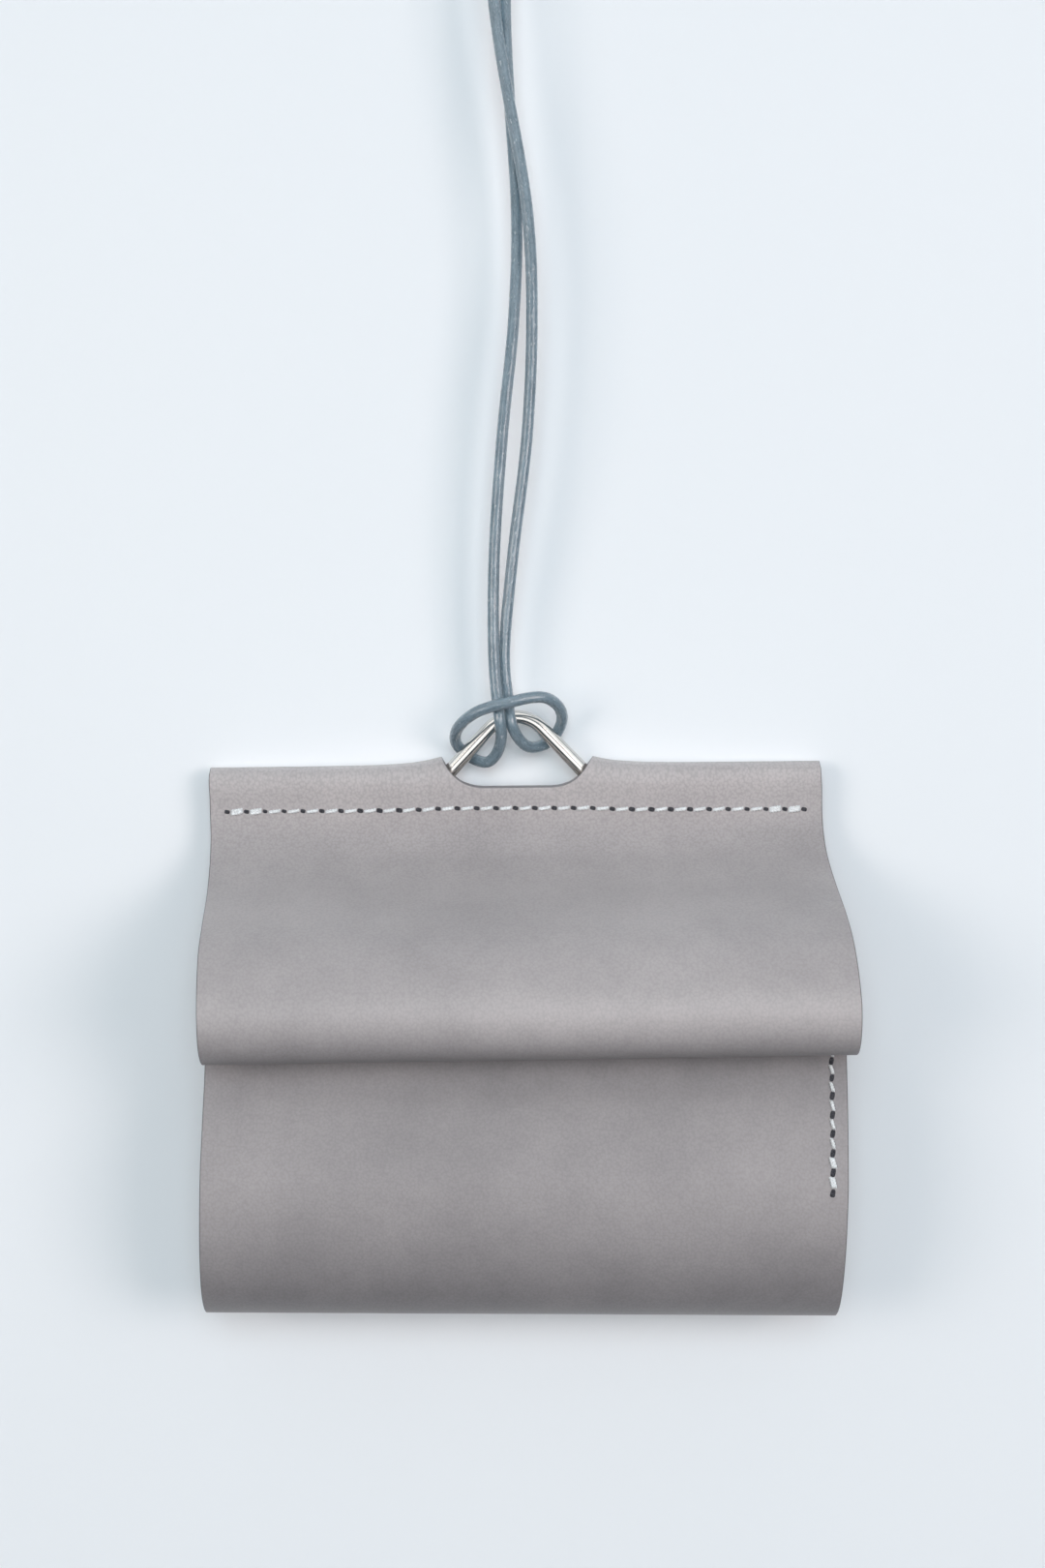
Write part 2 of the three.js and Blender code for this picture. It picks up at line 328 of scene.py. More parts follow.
class NodeSheet:
    """A material's node tree, with short calls to add nodes and join them."""

    def __init__(self, name: str) -> None:
        """Starts an empty node tree in a new material.

        Args:
            name: the material's name.
        """
        self.material = bpy.data.materials.new(name)
        self.material.use_nodes = True
        self.tree = self.material.node_tree
        self.tree.nodes.clear()

    def add(self, kind: str, inputs: dict | None = None, **settings: object) -> bpy.types.Node:
        """Adds a node.

        Args:
            kind: the node's type, without the leading ShaderNode.
            inputs: values or sockets for its inputs, by name or number.
            settings: the node's own properties.

        Returns:
            The node.
        """
        node = self.tree.nodes.new("ShaderNode" + kind)
        for name, value in settings.items():
            setattr(node, name, value)
        for key, value in (inputs or {}).items():
            if isinstance(value, Socket):
                self.tree.links.new(value, node.inputs[key])
            else:
                node.inputs[key].default_value = value
        return node

    def run(self) -> Socket:
        """The piece's own map: distances across it, or round it, and along it."""
        return self.add("UVMap", uv_map="run").outputs["UV"]

    def place(self) -> Socket:
        """Places on the object, in metres."""
        return self.add("TexCoord").outputs["Object"]

    def tone(self) -> Socket:
        """The tone that the mesh holds at each of its points."""
        return self.add("Attribute", attribute_name="tone").outputs["Fac"]

    def stretched(self, place: Socket, scale: Stretch) -> Socket:
        """Places scaled apart along each axis, which draws out a pattern on them."""
        return self.add("Mapping", {"Vector": place, "Scale": scale}).outputs["Vector"]

    def noise(self, place: Socket, pattern: Noise, output: str = "Fac") -> Socket:
        """A noise pattern at each place, as a value or as a colour."""
        named = {"Scale": pattern.scale, "Detail": pattern.detail, "Roughness": pattern.weight}
        return self.add("TexNoise", {"Vector": place, **named}).outputs[output]

    def ramp(self, source: Socket, span: Span, dark: Colour, light: Colour) -> Socket:
        """Turns a value into a colour.

        Args:
            source: the value.
            span: where the colour starts and stops changing.
            dark: the colour at the span's low end and below.
            light: the colour at its high end and above.

        Returns:
            The colour.
        """
        node = self.add("ValToRGB", {"Fac": source})
        for element, place, colour in zip(node.color_ramp.elements, span, (dark, light)):
            element.position, element.color = place, (*colour, 1)
        return node.outputs["Color"]

    def math(self, operation: str, *values: Socket | float) -> Socket:
        """Works out one sum, with sockets or numbers as its values."""
        return self.add("Math", dict(enumerate(values)), operation=operation).outputs[0]

    def spread(self, source: Socket, span: Span, onto: Span) -> Socket:
        """Maps a value from one range to another, and holds it inside the new one."""
        ends = {"From Min": span.low, "From Max": span.high, "To Min": onto.low, "To Max": onto.high}
        return self.add("MapRange", {"Value": source, **ends}).outputs["Result"]

    def blend(self, share: Socket, first: Socket | Colour, second: Socket | Colour) -> Socket:
        """Mixes two colours by a share.

        Args:
            share: 0 gives the first colour and 1 the second.
            first: a colour.
            second: a colour.

        Returns:
            The mixed colour.
        """
        pair = {MIX_FIRST: first, MIX_SECOND: second}
        colours = {key: c if isinstance(c, Socket) else (*c, 1) for key, c in pair.items()}
        return self.add("Mix", {MIX_SHARE: share, **colours}, data_type="RGBA").outputs[MIX_RESULT]

    def bump(self, height: Socket, relief: Relief, share: Socket | None = None) -> Socket:
        """Leans the surface with a height pattern.

        Args:
            height: the pattern.
            relief: its strength and height.
            share: what scales its strength from place to place, if anything does.

        Returns:
            The normal.
        """
        strength = relief.strength if share is None else self.math("MULTIPLY", share, relief.strength)
        values = {"Height": height, "Strength": strength, "Distance": relief.height}
        return self.add("Bump", values).outputs["Normal"]

    def finish(self, **inputs: object) -> Material:
        """Adds the main shader and the output.

        Args:
            inputs: the shader's inputs, with underscores for the spaces in their names.

        Returns:
            The finished material.
        """
        named = {key.replace("_", " "): value for key, value in inputs.items()}
        shader = self.add("BsdfPrincipled", named)
        self.add("OutputMaterial", {"Surface": shader.outputs[0]})
        return self.material


@dataclass(frozen=True)
class GrainLeather:
    """The strip's outside: grey leather with a fine pebbled grain, tinted with painted light and shade along
    its folds.

    The grain stands out most round a crease at one distance along the strip, the top fold.
    """

    crease: float
    crease_span: Span = Span(0.006, 0.024)
    crease_share: Span = Span(1.6, 0.9)
    pale: Colour = (0.496, 0.4516, 0.4449)
    deep: Colour = (0.2155, 0.1978, 0.2017)
    pebble: float = 2300
    wobble: Noise = Noise(pebble / 3, 2.0)
    wander: float = 0.0004
    fine: Noise = Noise(pebble * 1.6, 4.0)
    broad: Noise = Noise(55, 6.0, 0.8)
    cloud: Noise = Noise(16, 3.0)
    pebble_rise: float = 0.6
    fine_rise: float = 0.4
    patch_span: Span = Span(0.7, 1.3)
    patch_tint: Span = Span(-0.2, 0.2)
    hollow_span: Span = Span(0.35, 0.6)
    hollow_shade: Span = Span(-0.1, 0.0)
    gloss_span: Span = Span(0.3, 0.7)
    roughness: Span = Span(0.48, 0.58)
    relief: Relief = Relief(0.35, 0.00006)

    def material(self) -> Material:
        """Cells of about half a millimetre, softened by noise, lift the surface, and painted shade darkens
        the hollows between them; broad clouds tint it.

        Returns:
            The material.
        """
        sheet = NodeSheet("leather_grain")
        run = sheet.run()
        shift = {0: sheet.noise(run, self.wobble, "Color"), "Scale": self.wander}
        drift = sheet.add("VectorMath", shift, operation="SCALE").outputs[0]
        bent = sheet.add("VectorMath", {0: run, 1: drift}, operation="ADD").outputs[0]
        cells = sheet.add("TexVoronoi", {"Vector": bent, "Scale": self.pebble, "Randomness": 1.0})
        domes = sheet.math("SUBTRACT", 1.0, cells.outputs["Distance"])
        pebbles = sheet.math("MULTIPLY", domes, self.pebble_rise)
        height = sheet.math("MULTIPLY_ADD", sheet.noise(run, self.fine), self.fine_rise, pebbles)
        along = sheet.add("SeparateXYZ", {0: run}).outputs["Y"]
        away = sheet.math("ABSOLUTE", sheet.math("SUBTRACT", along, self.crease))
        share = sheet.spread(away, self.crease_span, self.crease_share)
        broad = sheet.noise(run, self.broad)
        patch = sheet.math("ADD", broad, sheet.noise(run, self.cloud))
        # The tone's painted light and shade, with random clouds on top, picks each place's tint between deep
        # and pale.
        shade = sheet.math("ADD", sheet.tone(), sheet.spread(patch, self.patch_span, self.patch_tint))
        tint = sheet.blend(shade, self.deep, self.pale)
        # Painted shade: the leather darkens where the grain is low, in the hollows between cells, most round
        # the top fold.
        hollow_darkening = sheet.spread(height, self.hollow_span, self.hollow_shade)
        shade_veil = sheet.math("MULTIPLY_ADD", hollow_darkening, share, 1.0)
        layers = {MIX_SHARE: 1.0, MIX_FIRST: tint, MIX_SECOND: shade_veil}
        hollow_shaded = sheet.add("Mix", layers, data_type="RGBA", blend_type="MULTIPLY").outputs[MIX_RESULT]
        return sheet.finish(
            Base_Color=hollow_shaded,
            Roughness=sheet.spread(broad, self.gloss_span, self.roughness),
            Normal=sheet.bump(height, self.relief, share),
            Specular_IOR_Level=0.5,
            Sheen_Weight=0.06,
            Sheen_Roughness=0.5,
        )


@dataclass(frozen=True)
class FleshLeather:
    """The strip's inside: the same leather's fibrous, matt flesh side."""

    light: Colour = (0.43, 0.4, 0.38)
    dark: Colour = (0.32, 0.3, 0.29)
    stretch: Stretch = (2600, 700, 1)
    fibres: Noise = Noise(1.0, 6.0, 0.7)
    tint_span: Span = Span(0.32, 0.68)
    relief: Relief = Relief(0.5, 0.00008)

    def material(self) -> Material:
        """Stretched noise makes short fibres that run with the strip.

        Returns:
            The material.
        """
        sheet = NodeSheet("leather_flesh")
        fibres = sheet.noise(sheet.stretched(sheet.run(), self.stretch), self.fibres)
        return sheet.finish(
            Base_Color=sheet.ramp(fibres, self.tint_span, self.dark, self.light),
            Roughness=0.86,
            Normal=sheet.bump(fibres, self.relief),
            Specular_IOR_Level=0.25,
        )


@dataclass(frozen=True)
class BurnishedEdge:
    """The strip's cut edges: dyed dark and rubbed smooth, and less so in the notch."""

    light: Colour = (0.1, 0.092, 0.094)
    dark: Colour = (0.045, 0.042, 0.045)
    notch: Colour = (0.22, 0.206, 0.21)
    streak: Noise = Noise(700.0, 5.0, 0.6)
    tint_span: Span = Span(0.35, 0.7)
    gloss_span: Span = Span(0.3, 0.7)
    roughness: Span = Span(0.36, 0.52)
    relief: Relief = Relief(0.3, 0.00005)

    def material(self) -> Material:
        """Noise leaves streaks of the leather's layers, and the tone picks the rim's dye or the notch's.

        Returns:
            The material.
        """
        sheet = NodeSheet("leather_edge")
        streak = sheet.noise(sheet.place(), self.streak)
        dyed = sheet.ramp(streak, self.tint_span, self.dark, self.light)
        return sheet.finish(
            Base_Color=sheet.blend(sheet.tone(), dyed, self.notch),
            Roughness=sheet.spread(streak, self.gloss_span, self.roughness),
            Normal=sheet.bump(streak, self.relief),
            Specular_IOR_Level=0.45,
        )


@dataclass(frozen=True)
class NickelWire:
    """The ring's finish: polished nickel plate with fine rubbing marks."""

    light: Colour = (0.69, 0.668, 0.64)
    dark: Colour = (0.62, 0.6, 0.575)
    stretch: Stretch = (9000, 400, 1)
    lines: Noise = Noise(1.0, 4.0)
    dull: Noise = Noise(260.0, 3.0)
    tint_span: Span = Span(0.3, 0.6)
    gloss_span: Span = Span(0.3, 0.75)
    roughness: Span = Span(0.13, 0.18)
    relief: Relief = Relief(0.01, 0.00001)

    def material(self) -> Material:
        """Noise stretched along the wire makes hairlines in the polish.

        Returns:
            The material.
        """
        sheet = NodeSheet("nickel_wire")
        run = sheet.run()
        lines = sheet.noise(sheet.stretched(run, self.stretch), self.lines)
        dull = sheet.noise(run, self.dull)
        return sheet.finish(
            Base_Color=sheet.ramp(dull, self.tint_span, self.dark, self.light),
            Metallic=1.0,
            Roughness=sheet.spread(dull, self.gloss_span, self.roughness),
            Normal=sheet.bump(lines, self.relief),
        )


@dataclass(frozen=True)
class CordLeather:
    """The cord's finish: smooth slate blue-grey leather under a coat of wax."""

    light: Colour = (0.219, 0.292, 0.338)
    dark: Colour = (0.118, 0.168, 0.202)
    painted_glint: Colour = (0.58, 0.63, 0.66)
    long: Stretch = (1400, 260, 1)
    streak: Noise = Noise(1.0, 5.0, 0.6)
    short: Stretch = (3200, 900, 1)
    speck: Noise = Noise(1.0, 2.0)
    tint_span: Span = Span(0.3, 0.7)
    glint_span: Span = Span(0.62, 0.7)
    glint_share: Span = Span(0.0, 0.5)
    gloss_span: Span = Span(0.35, 0.65)
    roughness: Span = Span(0.34, 0.2)
    speck_rise: float = 0.8
    relief: Relief = Relief(0.6, 0.00012)

    def material(self) -> Material:
        """Long streaks follow the cord, and short noise breaks up the gloss of the wax; where it peaks, pale
        flecks paint glints.

        Returns:
            The material.
        """
        sheet = NodeSheet("cord_leather")
        run = sheet.run()
        streak = sheet.noise(sheet.stretched(run, self.long), self.streak)
        speck = sheet.noise(sheet.stretched(run, self.short), self.speck)
        body = sheet.ramp(streak, self.tint_span, self.dark, self.light)
        # Painted highlight: pale flecks where the short noise peaks stand in for glints on the waxed cord.
        glinted = sheet.spread(speck, self.glint_span, self.glint_share)
        height = sheet.math("MULTIPLY_ADD", speck, self.speck_rise, streak)
        normal = sheet.bump(height, self.relief)
        return sheet.finish(
            Base_Color=sheet.blend(glinted, body, self.painted_glint),
            Roughness=sheet.spread(speck, self.gloss_span, self.roughness),
            Normal=normal,
            Specular_IOR_Level=0.5,
            Coat_Weight=0.8,
            Coat_Roughness=0.07,
            Coat_Normal=normal,
        )


@dataclass(frozen=True)
class WaxedThread:
    """The seams' thread: off-white, twisted and lightly waxed."""

    light: Colour = (0.86, 0.865, 0.86)
    dark: Colour = (0.62, 0.635, 0.64)
    fibres: Noise = Noise(5200.0, 4.0)
    tint_span: Span = Span(0.3, 0.62)
    relief: Relief = Relief(0.4, 0.00004)

    def material(self) -> Material:
        """Fine noise gives the plies their fibres.

        Returns:
            The material.
        """
        sheet = NodeSheet("waxed_thread")
        fibres = sheet.noise(sheet.place(), self.fibres)
        return sheet.finish(
            Base_Color=sheet.ramp(fibres, self.tint_span, self.dark, self.light),
            Roughness=0.62,
            Normal=sheet.bump(fibres, self.relief),
            Sheen_Weight=0.15,
        )


@dataclass(frozen=True)
class PaintedHoleShade:
    """Painted shade that stands for the shadowed inside of a stitch hole."""

    light: Colour = (0.08, 0.077, 0.086)
    dark: Colour = (0.032, 0.032, 0.037)
    torn: Noise = Noise(4000.0, 3.0)
    tint_span: Span = Span(0.35, 0.7)

    def material(self) -> Material:
        """Noise breaks up the painted shade with the torn fibres at the hole's rim.

        Returns:
            The material.
        """
        sheet = NodeSheet("painted_hole_shade")
        torn = sheet.noise(sheet.place(), self.torn)
        tint = sheet.ramp(torn, self.tint_span, self.dark, self.light)
        return sheet.finish(Base_Color=tint, Roughness=0.9, Specular_IOR_Level=0.1)


# The folded strip of leather


class Fold(NamedTuple):
    """One place on the strip's course, in the middle of its thickness.

    Slide moves the strip to the right there. Bulge and lift are shares of what the ring's bar and legs push
    it by. Lean is how much higher its right-hand edge is than its middle. Tone paints light and shade onto
    it, from deep at 0 to pale at 1, and drift paints its right-hand edge paler than its middle as light from
    the right.
    """

    depth: float
    height: float
    slide: float = 0.0
    bulge: float = 0.0
    lift: float = 0.0
    lean: float = 0.0
    tone: float = 0.5
    drift: float = 0.0


# The columns of a course: those before the tone shape the strip, and the tone and its drift paint light and
# shade onto it
HEIGHT, LIFT, TONE = (Fold._fields.index(name) for name in ("height", "lift", "tone"))


class Skin(Enum):
    """The strip's kinds of surface, numbered as its materials are."""

    GRAIN = 0
    FLESH = 1
    EDGE = 2


class Layer(Enum):
    """Where a seam runs on the strip: the side of it that shows the thread."""

    GRAIN = 1
    FLESH = -1


@dataclass(frozen=True)
class Arc:
    """A round fold: the quarter ellipses in front of and behind its middle."""

    depth: float
    height: float
    front: float
    back: float
    drop: float

    def at(self, *degrees: float) -> list[tuple[float, float]]:
        """Works out places round the fold, on an ellipse with its own half axis in front and behind.

        Args:
            degrees: the places' directions: 0 points forwards and 90 upwards.

        Returns:
            Their depths and heights.
        """
        angle = np.radians(degrees)
        across = np.where(np.cos(angle) >= 0, self.front, self.back)
        return list(zip(self.depth + across * np.cos(angle), self.height + self.drop * np.sin(angle)))


@dataclass
class LeatherStrip:
    """One long strip of leather, folded into a pocket, a back, a flap and a tongue."""

    width: float = 0.0956
    thickness: float = 0.0016
    middle: float = -0.00115
    edge: float = 0.00016
    bar_spread: float = 0.00275
    bar_flat: float = 0.017
    bar_end: float = 0.042
    leg_lift: float = 0.0013
    leg_from: float = 0.0116
    leg_fade: float = 0.004
    notch_middle: float = -0.00086
    notch_flat: float = 0.0052
    notch_bottom: float = -0.0003
    notch_radius: float = 0.00715
    bottom: Arc = Arc(depth=0.0115, height=-0.06, front=0.0109, back=0.0107, drop=0.01985)
    top: Arc = Arc(depth=0.0021, height=0.0008, front=0.0013, back=0.0013, drop=0.0016)
    roll: Arc = Arc(depth=0.0257, height=-0.0336, front=0.0051, back=0.005, drop=0.0059)
    hook: Arc = Arc(depth=0.0174, height=-0.0272, front=0.00185, back=0.00185, drop=0.00185)
    flat_step: float = 0.0015
    bend_step: float = 0.13
    notch_rows: int = 9
    notch_clear: float = 0.0004
    layer_reach: float = 0.012
    outer_columns: int = 26
    inner_columns: int = 9
    rim_steps: int = 8
    rim_power: float = 0.6
    rim_tone: float = 0.0
    notch_tone: float = 1.0
    step: float = 0.0001
    samples: int = 40
    fairing: float = 4
    course: Array = field(init=False, repr=False)
    run: Array = field(init=False, repr=False)

    def __post_init__(self) -> None:
        """Draws the strip's course once, at small even steps."""
        drawn = curve_through(np.array(self.folds()), self.samples, places=2)
        self.course = faired(evenly(drawn, self.step, places=2), self.fairing)
        self.run = run_of(self.course[:, :2])

    def folds(self) -> list[Fold]:
        """Lists the strip's course from the mouth of the pocket to the end of the tongue.

        Returns:
            The places that the course runs through.
        """
        # The tones paint light and shade: paler on the top fold and the roll's front, darker in the hollow
        # below the top seam, on the roll's underside, at the pocket's top below it and round the bottom fold;
        # drift paints the right-hand side paler.
        pocket_front = [
            Fold(0.0174, -0.0275, slide=0.0013, tone=0.3),
            Fold(0.018, -0.034, slide=0.00125, tone=0.2),
            Fold(0.0192, -0.0431, slide=0.00115, tone=0.16),
            Fold(0.0207, -0.0488, slide=0.001, tone=0.325, drift=0.04),
            Fold(0.02205, -0.0558, slide=0.0008, lean=-0.0004, tone=0.38, drift=0.08),
        ]
        bottom = [
            Fold(depth, height, slide=slide, lean=-0.00078, tone=tone, drift=drift)
            for (depth, height), slide, tone, drift in zip(
                self.bottom.at(0, -30, -60, -90, -120, -150, -180),
                (0.0007, 0.00035, 0.0001, 0, 0, 0, 0),
                (0.45, 0.265, 0.08, 0.45, 0.36, 0.39, 0.43),
                (0.07, 0.02, 0, 0, 0, 0, 0),
            )
        ]
        back = [Fold(0.0008, height, tone=0.47) for height in (-0.0585, -0.05, -0.036, -0.016, -0.009)]
        seam_back = [Fold(0.0008, -0.0039, lift=0.2)]
        top = [
            Fold(depth, height, bulge=bulge, lift=lift, tone=1)
            for (depth, height), bulge, lift in zip(
                self.top.at(180, 135, 90, 45, 0), (0, 0.146, 0.5, 0.854, 1), (0.6, 0.88, 1, 0.88, 0.6)
            )
        ]
        flap = [
            Fold(0.0033, -0.0015, slide=0.0001, bulge=0.945, lift=0.4, tone=0.835),
            Fold(0.003, -0.0039, slide=0.0001, bulge=0.873, lift=0.2, tone=0.78),
            Fold(0.00325, -0.0075, slide=0.0002, bulge=0.673, tone=0.53),
            Fold(0.0053, -0.011, slide=0.00035, bulge=0.29, tone=0.49),
            Fold(0.0088, -0.014, slide=0.0006, bulge=0.09, tone=0.575),
            Fold(0.0134, -0.01685, slide=0.0009, tone=0.59),
            Fold(0.0209, -0.02075, slide=0.00125, tone=0.6),
            Fold(0.0265, -0.0246, slide=0.00145, tone=0.555),
            Fold(0.02975, -0.0294, slide=0.00165, tone=0.6),
        ]
        roll = [
            Fold(depth, height, slide=0.00175, lean=0.0002, tone=tone, drift=drift)
            for (depth, height), tone, drift in zip(
                self.roll.at(0, -45, -90, -135, -180),
                (0.85, 0.485, 0.215, 0.4, 0.5),
                (0.13, 0.06, 0.03, 0, 0),
            )
        ]
        turned_back = [Fold(0.01995, -0.0306, slide=0.0016)]
        hook = [Fold(d, h, slide=0.0014) for d, h in self.hook.at(0, 45, 90, 135, 180)]
        tongue = [
            Fold(0.01615, -0.034, slide=0.00125),
            Fold(0.01725, -0.0431, slide=0.00115),
            Fold(0.0187, -0.0488, slide=0.001),
            Fold(0.02, -0.0558, slide=0.0008),
            Fold(0.02025, -0.061, slide=0.0007),
        ]
        return [*pocket_front, *bottom, *back, *seam_back, *top, *flap, *roll, *turned_back, *hook, *tongue]

    def bulge_at(self, across: Array) -> Array:
        """How far the ring's bar pushes the front layer out, at distances from the strip's middle."""
        return self.bar_spread * (1 - smoothstep(np.abs(across), self.bar_flat, self.bar_end))

    def lift_at(self, across: Array) -> Array:
        """How far the ring's legs lift the top fold, at distances from the strip's middle."""
        return self.leg_lift * np.exp(-np.maximum(0, np.abs(across) - self.leg_from) / self.leg_fade)

    def surface(self, along: Array, across: Array) -> Array:
        """The middle of the leather as a function of two distances on the flat strip.

        The course gives depth, height and slide at the distance along. The bar's bulge adds to the depth,
        the legs' lift and the lean of the fold to the height, and x is the distance across plus the slide.

        Args:
            along: distances along the strip from the pocket's mouth.
            across: distances from the strip's middle line.

        Returns:
            The points in the frame.
        """
        columns = self.course[:, :TONE].T
        depth, height, slide, bulge, lift, lean = (np.interp(along, self.run, c) for c in columns)
        return HANG.place(
            self.middle + across + slide,
            depth + bulge * self.bulge_at(across),
            height + lift * self.lift_at(across) + lean * 2 * across / self.width,
        )

    def normal(self, along: Array, across: Array) -> Array:
        """Works out unit vectors out of the grain side: the cross product of two directions on the surface.

        Args:
            along: distances along the strip from the pocket's mouth.
            across: distances from the strip's middle line.

        Returns:
            The vectors.
        """
        small = 2 * self.step
        forwards = self.surface(along + small, across) - self.surface(along - small, across)
        sideways = self.surface(along, across + small) - self.surface(along, across - small)
        return unit(np.cross(forwards, sideways))

    def lifted_height(self) -> Array:
        """Heights along the course at the notch, where the ring's legs lift the fold."""
        return self.course[:, HEIGHT] + self.course[:, LIFT] * self.leg_lift

    def top_of_fold(self) -> int:
        """The number of the course's sample at the top of the top fold."""
        return int(np.argmax(self.lifted_height()))

    def along_at_height(self, height: Array | float, low: float, high: float) -> Array:
        """Distances along the strip where a stretch of it, all rising or all falling, reaches a height.

        Args:
            height: the heights, in the middle of the strip.
            low: where the stretch starts along the strip.
            high: where it ends.

        Returns:
            The distances along the strip.
        """
        part = (self.run >= low) & (self.run <= high)
        heights, run = self.lifted_height()[part], self.run[part]
        order = np.argsort(heights)
        return np.interp(height, heights[order], run[order])

    def rows(self) -> tuple[Array, Array, int, int]:
        """Chooses the grid's rows along the strip: close together in tight folds and round the notch.

        Returns:
            The rows' distances along the strip, the notch's half width at each, and the rows where the
            notch begins and ends.
        """
        bend = np.gradient(np.unwrap(np.arctan2(*np.gradient(self.course[:, :2], axis=0).T)), self.run)
        density = np.maximum(1 / self.flat_step, np.abs(bend) / self.bend_step)
        effort = run_of(np.cumsum(density)[:, None] * self.step)
        stops = np.interp(np.linspace(0, effort[-1], round(effort[-1]) + 1), effort, self.run)
        radius = self.notch_radius + self.edge
        bottom = self.notch_bottom - self.edge
        top = self.top_of_fold()
        turn = math.acos(1 - (self.lifted_height()[top] - bottom) / radius)
        angle = np.linspace(0, turn, self.notch_rows)
        height = bottom + radius * (1 - np.cos(angle))
        middle = self.run[top]
        rising = self.along_at_height(height[:-1], middle - self.layer_reach, middle)
        falling = self.along_at_height(height[-2::-1], middle, middle + self.layer_reach)
        notch = np.concatenate([rising, [middle], falling])
        wide = self.notch_flat + radius * np.sin(np.concatenate([angle, angle[-2::-1]]))
        before = stops[stops < notch[0] - self.notch_clear]
        after = stops[stops > notch[-1] + self.notch_clear]
        flat = np.full(len(stops), self.notch_flat)
        along = np.concatenate([before, notch, after])
        half = np.concatenate([flat[: len(before)], wide, flat[: len(after)]])
        return along, half, len(before), len(before) + len(notch) - 1

    def grid(self) -> tuple[Array, Array, Array, dict[str, Array]]:
        """Lays the grid on the flat strip, with a hole for the notch.

        Columns outside the notch's flat bottom are squeezed between the notch and the strip's edge, so the
        hole's outline follows the grid.

        Returns:
            Distances along and across for each point, the quads, and the outlines as lists of points.
        """
        along, half, first, last = self.rows()
        outer = (1 - np.cos(np.linspace(0, np.pi, self.outer_columns))) / 2
        inner = np.linspace(-1, 1, self.inner_columns)[1:-1]
        limit = self.width / 2 - self.edge
        middle = self.notch_middle - self.middle
        left = -limit + (middle - half[:, None] + limit) * outer
        right = middle + half[:, None] + (limit - middle - half[:, None]) * outer
        centre = middle + self.notch_flat * np.broadcast_to(inner, (len(along), len(inner)))
        across = np.concatenate([left, centre, right], axis=1)
        rows, columns = across.shape
        number = np.arange(rows * columns).reshape(rows, columns)
        quads = grid_quads(rows, columns, False, False).reshape(rows - 1, columns - 1, 4)
        notch_left, notch_right = len(outer) - 1, len(outer) + len(inner)
        kept = np.ones((rows - 1, columns - 1), dtype=bool)
        kept[first:last, notch_left:notch_right] = False
        rim = np.concatenate([number[0, :-1], number[:-1, -1], number[-1, :0:-1], number[:0:-1, 0]])
        hole = np.concatenate([
            number[first, notch_left:notch_right],
            number[first:last, notch_right],
            number[last, notch_right:notch_left:-1],
            number[last:first:-1, notch_left],
        ])
        spread = np.broadcast_to(along[:, None], across.shape)
        return spread.ravel(), across.ravel(), quads[kept], {"rim": rim, "hole": hole}

    def build(self) -> Surface:
        """Makes the strip as a closed wall.

        Both faces are the middle surface moved half the thickness along its normal, one each way. Along
        each outline a rounded rim joins them: going round it, a point moves out by the edge's width times
        a power of the cosine and along the normal by half the thickness times a power of the sine.

        Returns:
            The surface, painted with the grain side, the flesh side and the cut edges.
        """
        along, across, quads, outlines = self.grid()
        used, quads = np.unique(quads, return_inverse=True)
        quads = quads.reshape(-1, 4)
        renumber = np.full(len(along), -1)
        renumber[used] = np.arange(len(used))
        along, across = along[used], across[used]
        middle, normal = self.surface(along, across), self.normal(along, across)
        half = self.thickness / 2
        points = [middle + half * normal, middle - half * normal]
        uv = [np.stack([across, along], axis=-1)] * 2
        faces = [quads[:, ::-1], quads + len(used)]
        paint = [np.full(len(quads), Skin.GRAIN.value), np.full(len(quads), Skin.FLESH.value)]
        # Painted light and shade: each point takes the course's tone, and drift paints the right-hand side
        # paler.
        tint, drift = (np.interp(along, self.run, column) for column in self.course[:, TONE:].T)
        tone = [tint + drift * 2 * across / self.width] * 2
        swing = np.linspace(np.pi / 2, -np.pi / 2, self.rim_steps)[1:-1, None, None]
        total = 2 * len(used)
        edges = ((outlines["rim"], 1, self.rim_tone), (outlines["hole"], -1, self.notch_tone))
        for outline, outwards, edge_tone in edges:
            loop = renumber[outline]
            ahead, behind = middle[np.roll(loop, -1)], middle[np.roll(loop, 1)]
            out = outwards * unit(np.cross(normal[loop], ahead - behind))
            round_out = self.edge * flattened(np.cos(swing), self.rim_power) * out
            round_up = half * flattened(np.sin(swing), self.rim_power) * normal[loop]
            rounded = middle[loop] + round_out + round_up
            count = len(loop)
            fresh = total + np.arange(len(swing) * count).reshape(-1, count)
            ladder = np.concatenate([loop[None], fresh, loop[None] + len(used)])
            beside = np.roll(ladder, -1, axis=1)
            strip = np.stack([ladder[:-1], ladder[1:], beside[1:], beside[:-1]], axis=-1).reshape(-1, 4)
            faces.append(strip[:, ::-1] if outwards > 0 else strip)
            paint.append(np.full(len(strip), Skin.EDGE.value))
            points.append(rounded.reshape(-1, 3))
            uv.append(np.tile(uv[0][loop], (len(swing), 1)))
            tone.append(np.full(len(swing) * count, edge_tone))
            total += len(swing) * count
        return Surface(
            points=np.concatenate(points),
            faces=np.concatenate(faces).tolist(),
            uv=np.concatenate(uv),
            paint=np.concatenate(paint),
            tone=np.concatenate(tone),
        )

    def dress(self) -> Piece:
        """Makes the strip's object, with its three materials, in place of its solid.

        Returns:
            The strip.
        """
        grain = GrainLeather(crease=float(self.run[self.top_of_fold()]))
        materials = [grain.material(), FleshLeather().material(), BurnishedEdge().material()]
        made = self.build().to_object("folded_leather", materials)
        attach(made, ROOT)
        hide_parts("leather_body")
        return made


# The wire ring


